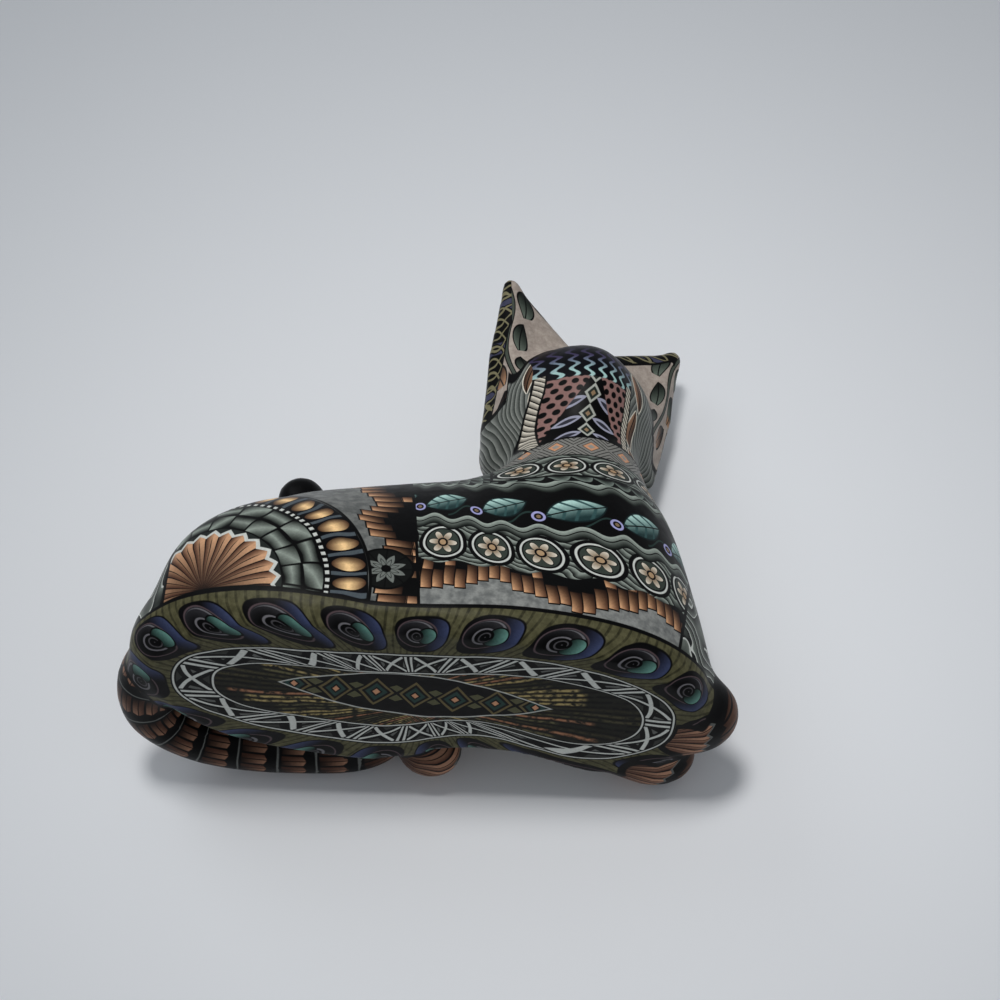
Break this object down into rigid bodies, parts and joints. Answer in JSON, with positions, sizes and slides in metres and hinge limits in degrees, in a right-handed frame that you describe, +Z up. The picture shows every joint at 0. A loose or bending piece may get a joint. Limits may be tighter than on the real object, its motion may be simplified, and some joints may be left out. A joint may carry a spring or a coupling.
{
  "type": "cat figurine",
  "caption": "Small cat figurine lying on a flat oval underside, head turned to its left, with a patterned satin surface; stands on a shelf by its own weight.",
  "frame": {"origin": "middle of the flat oval underside, on its face", "axes": "+X towards the chest and front paws, +Y to the cat's left, where it looks, +Z up"},
  "size_m": [0.1015, 0.0504, 0.0866],
  "materials": {
    "polymer_clay": "satin"
  },
  "bodies": {
    "root": {"cat_figurine": "polymer_clay"}
  },
  "joints": []
}
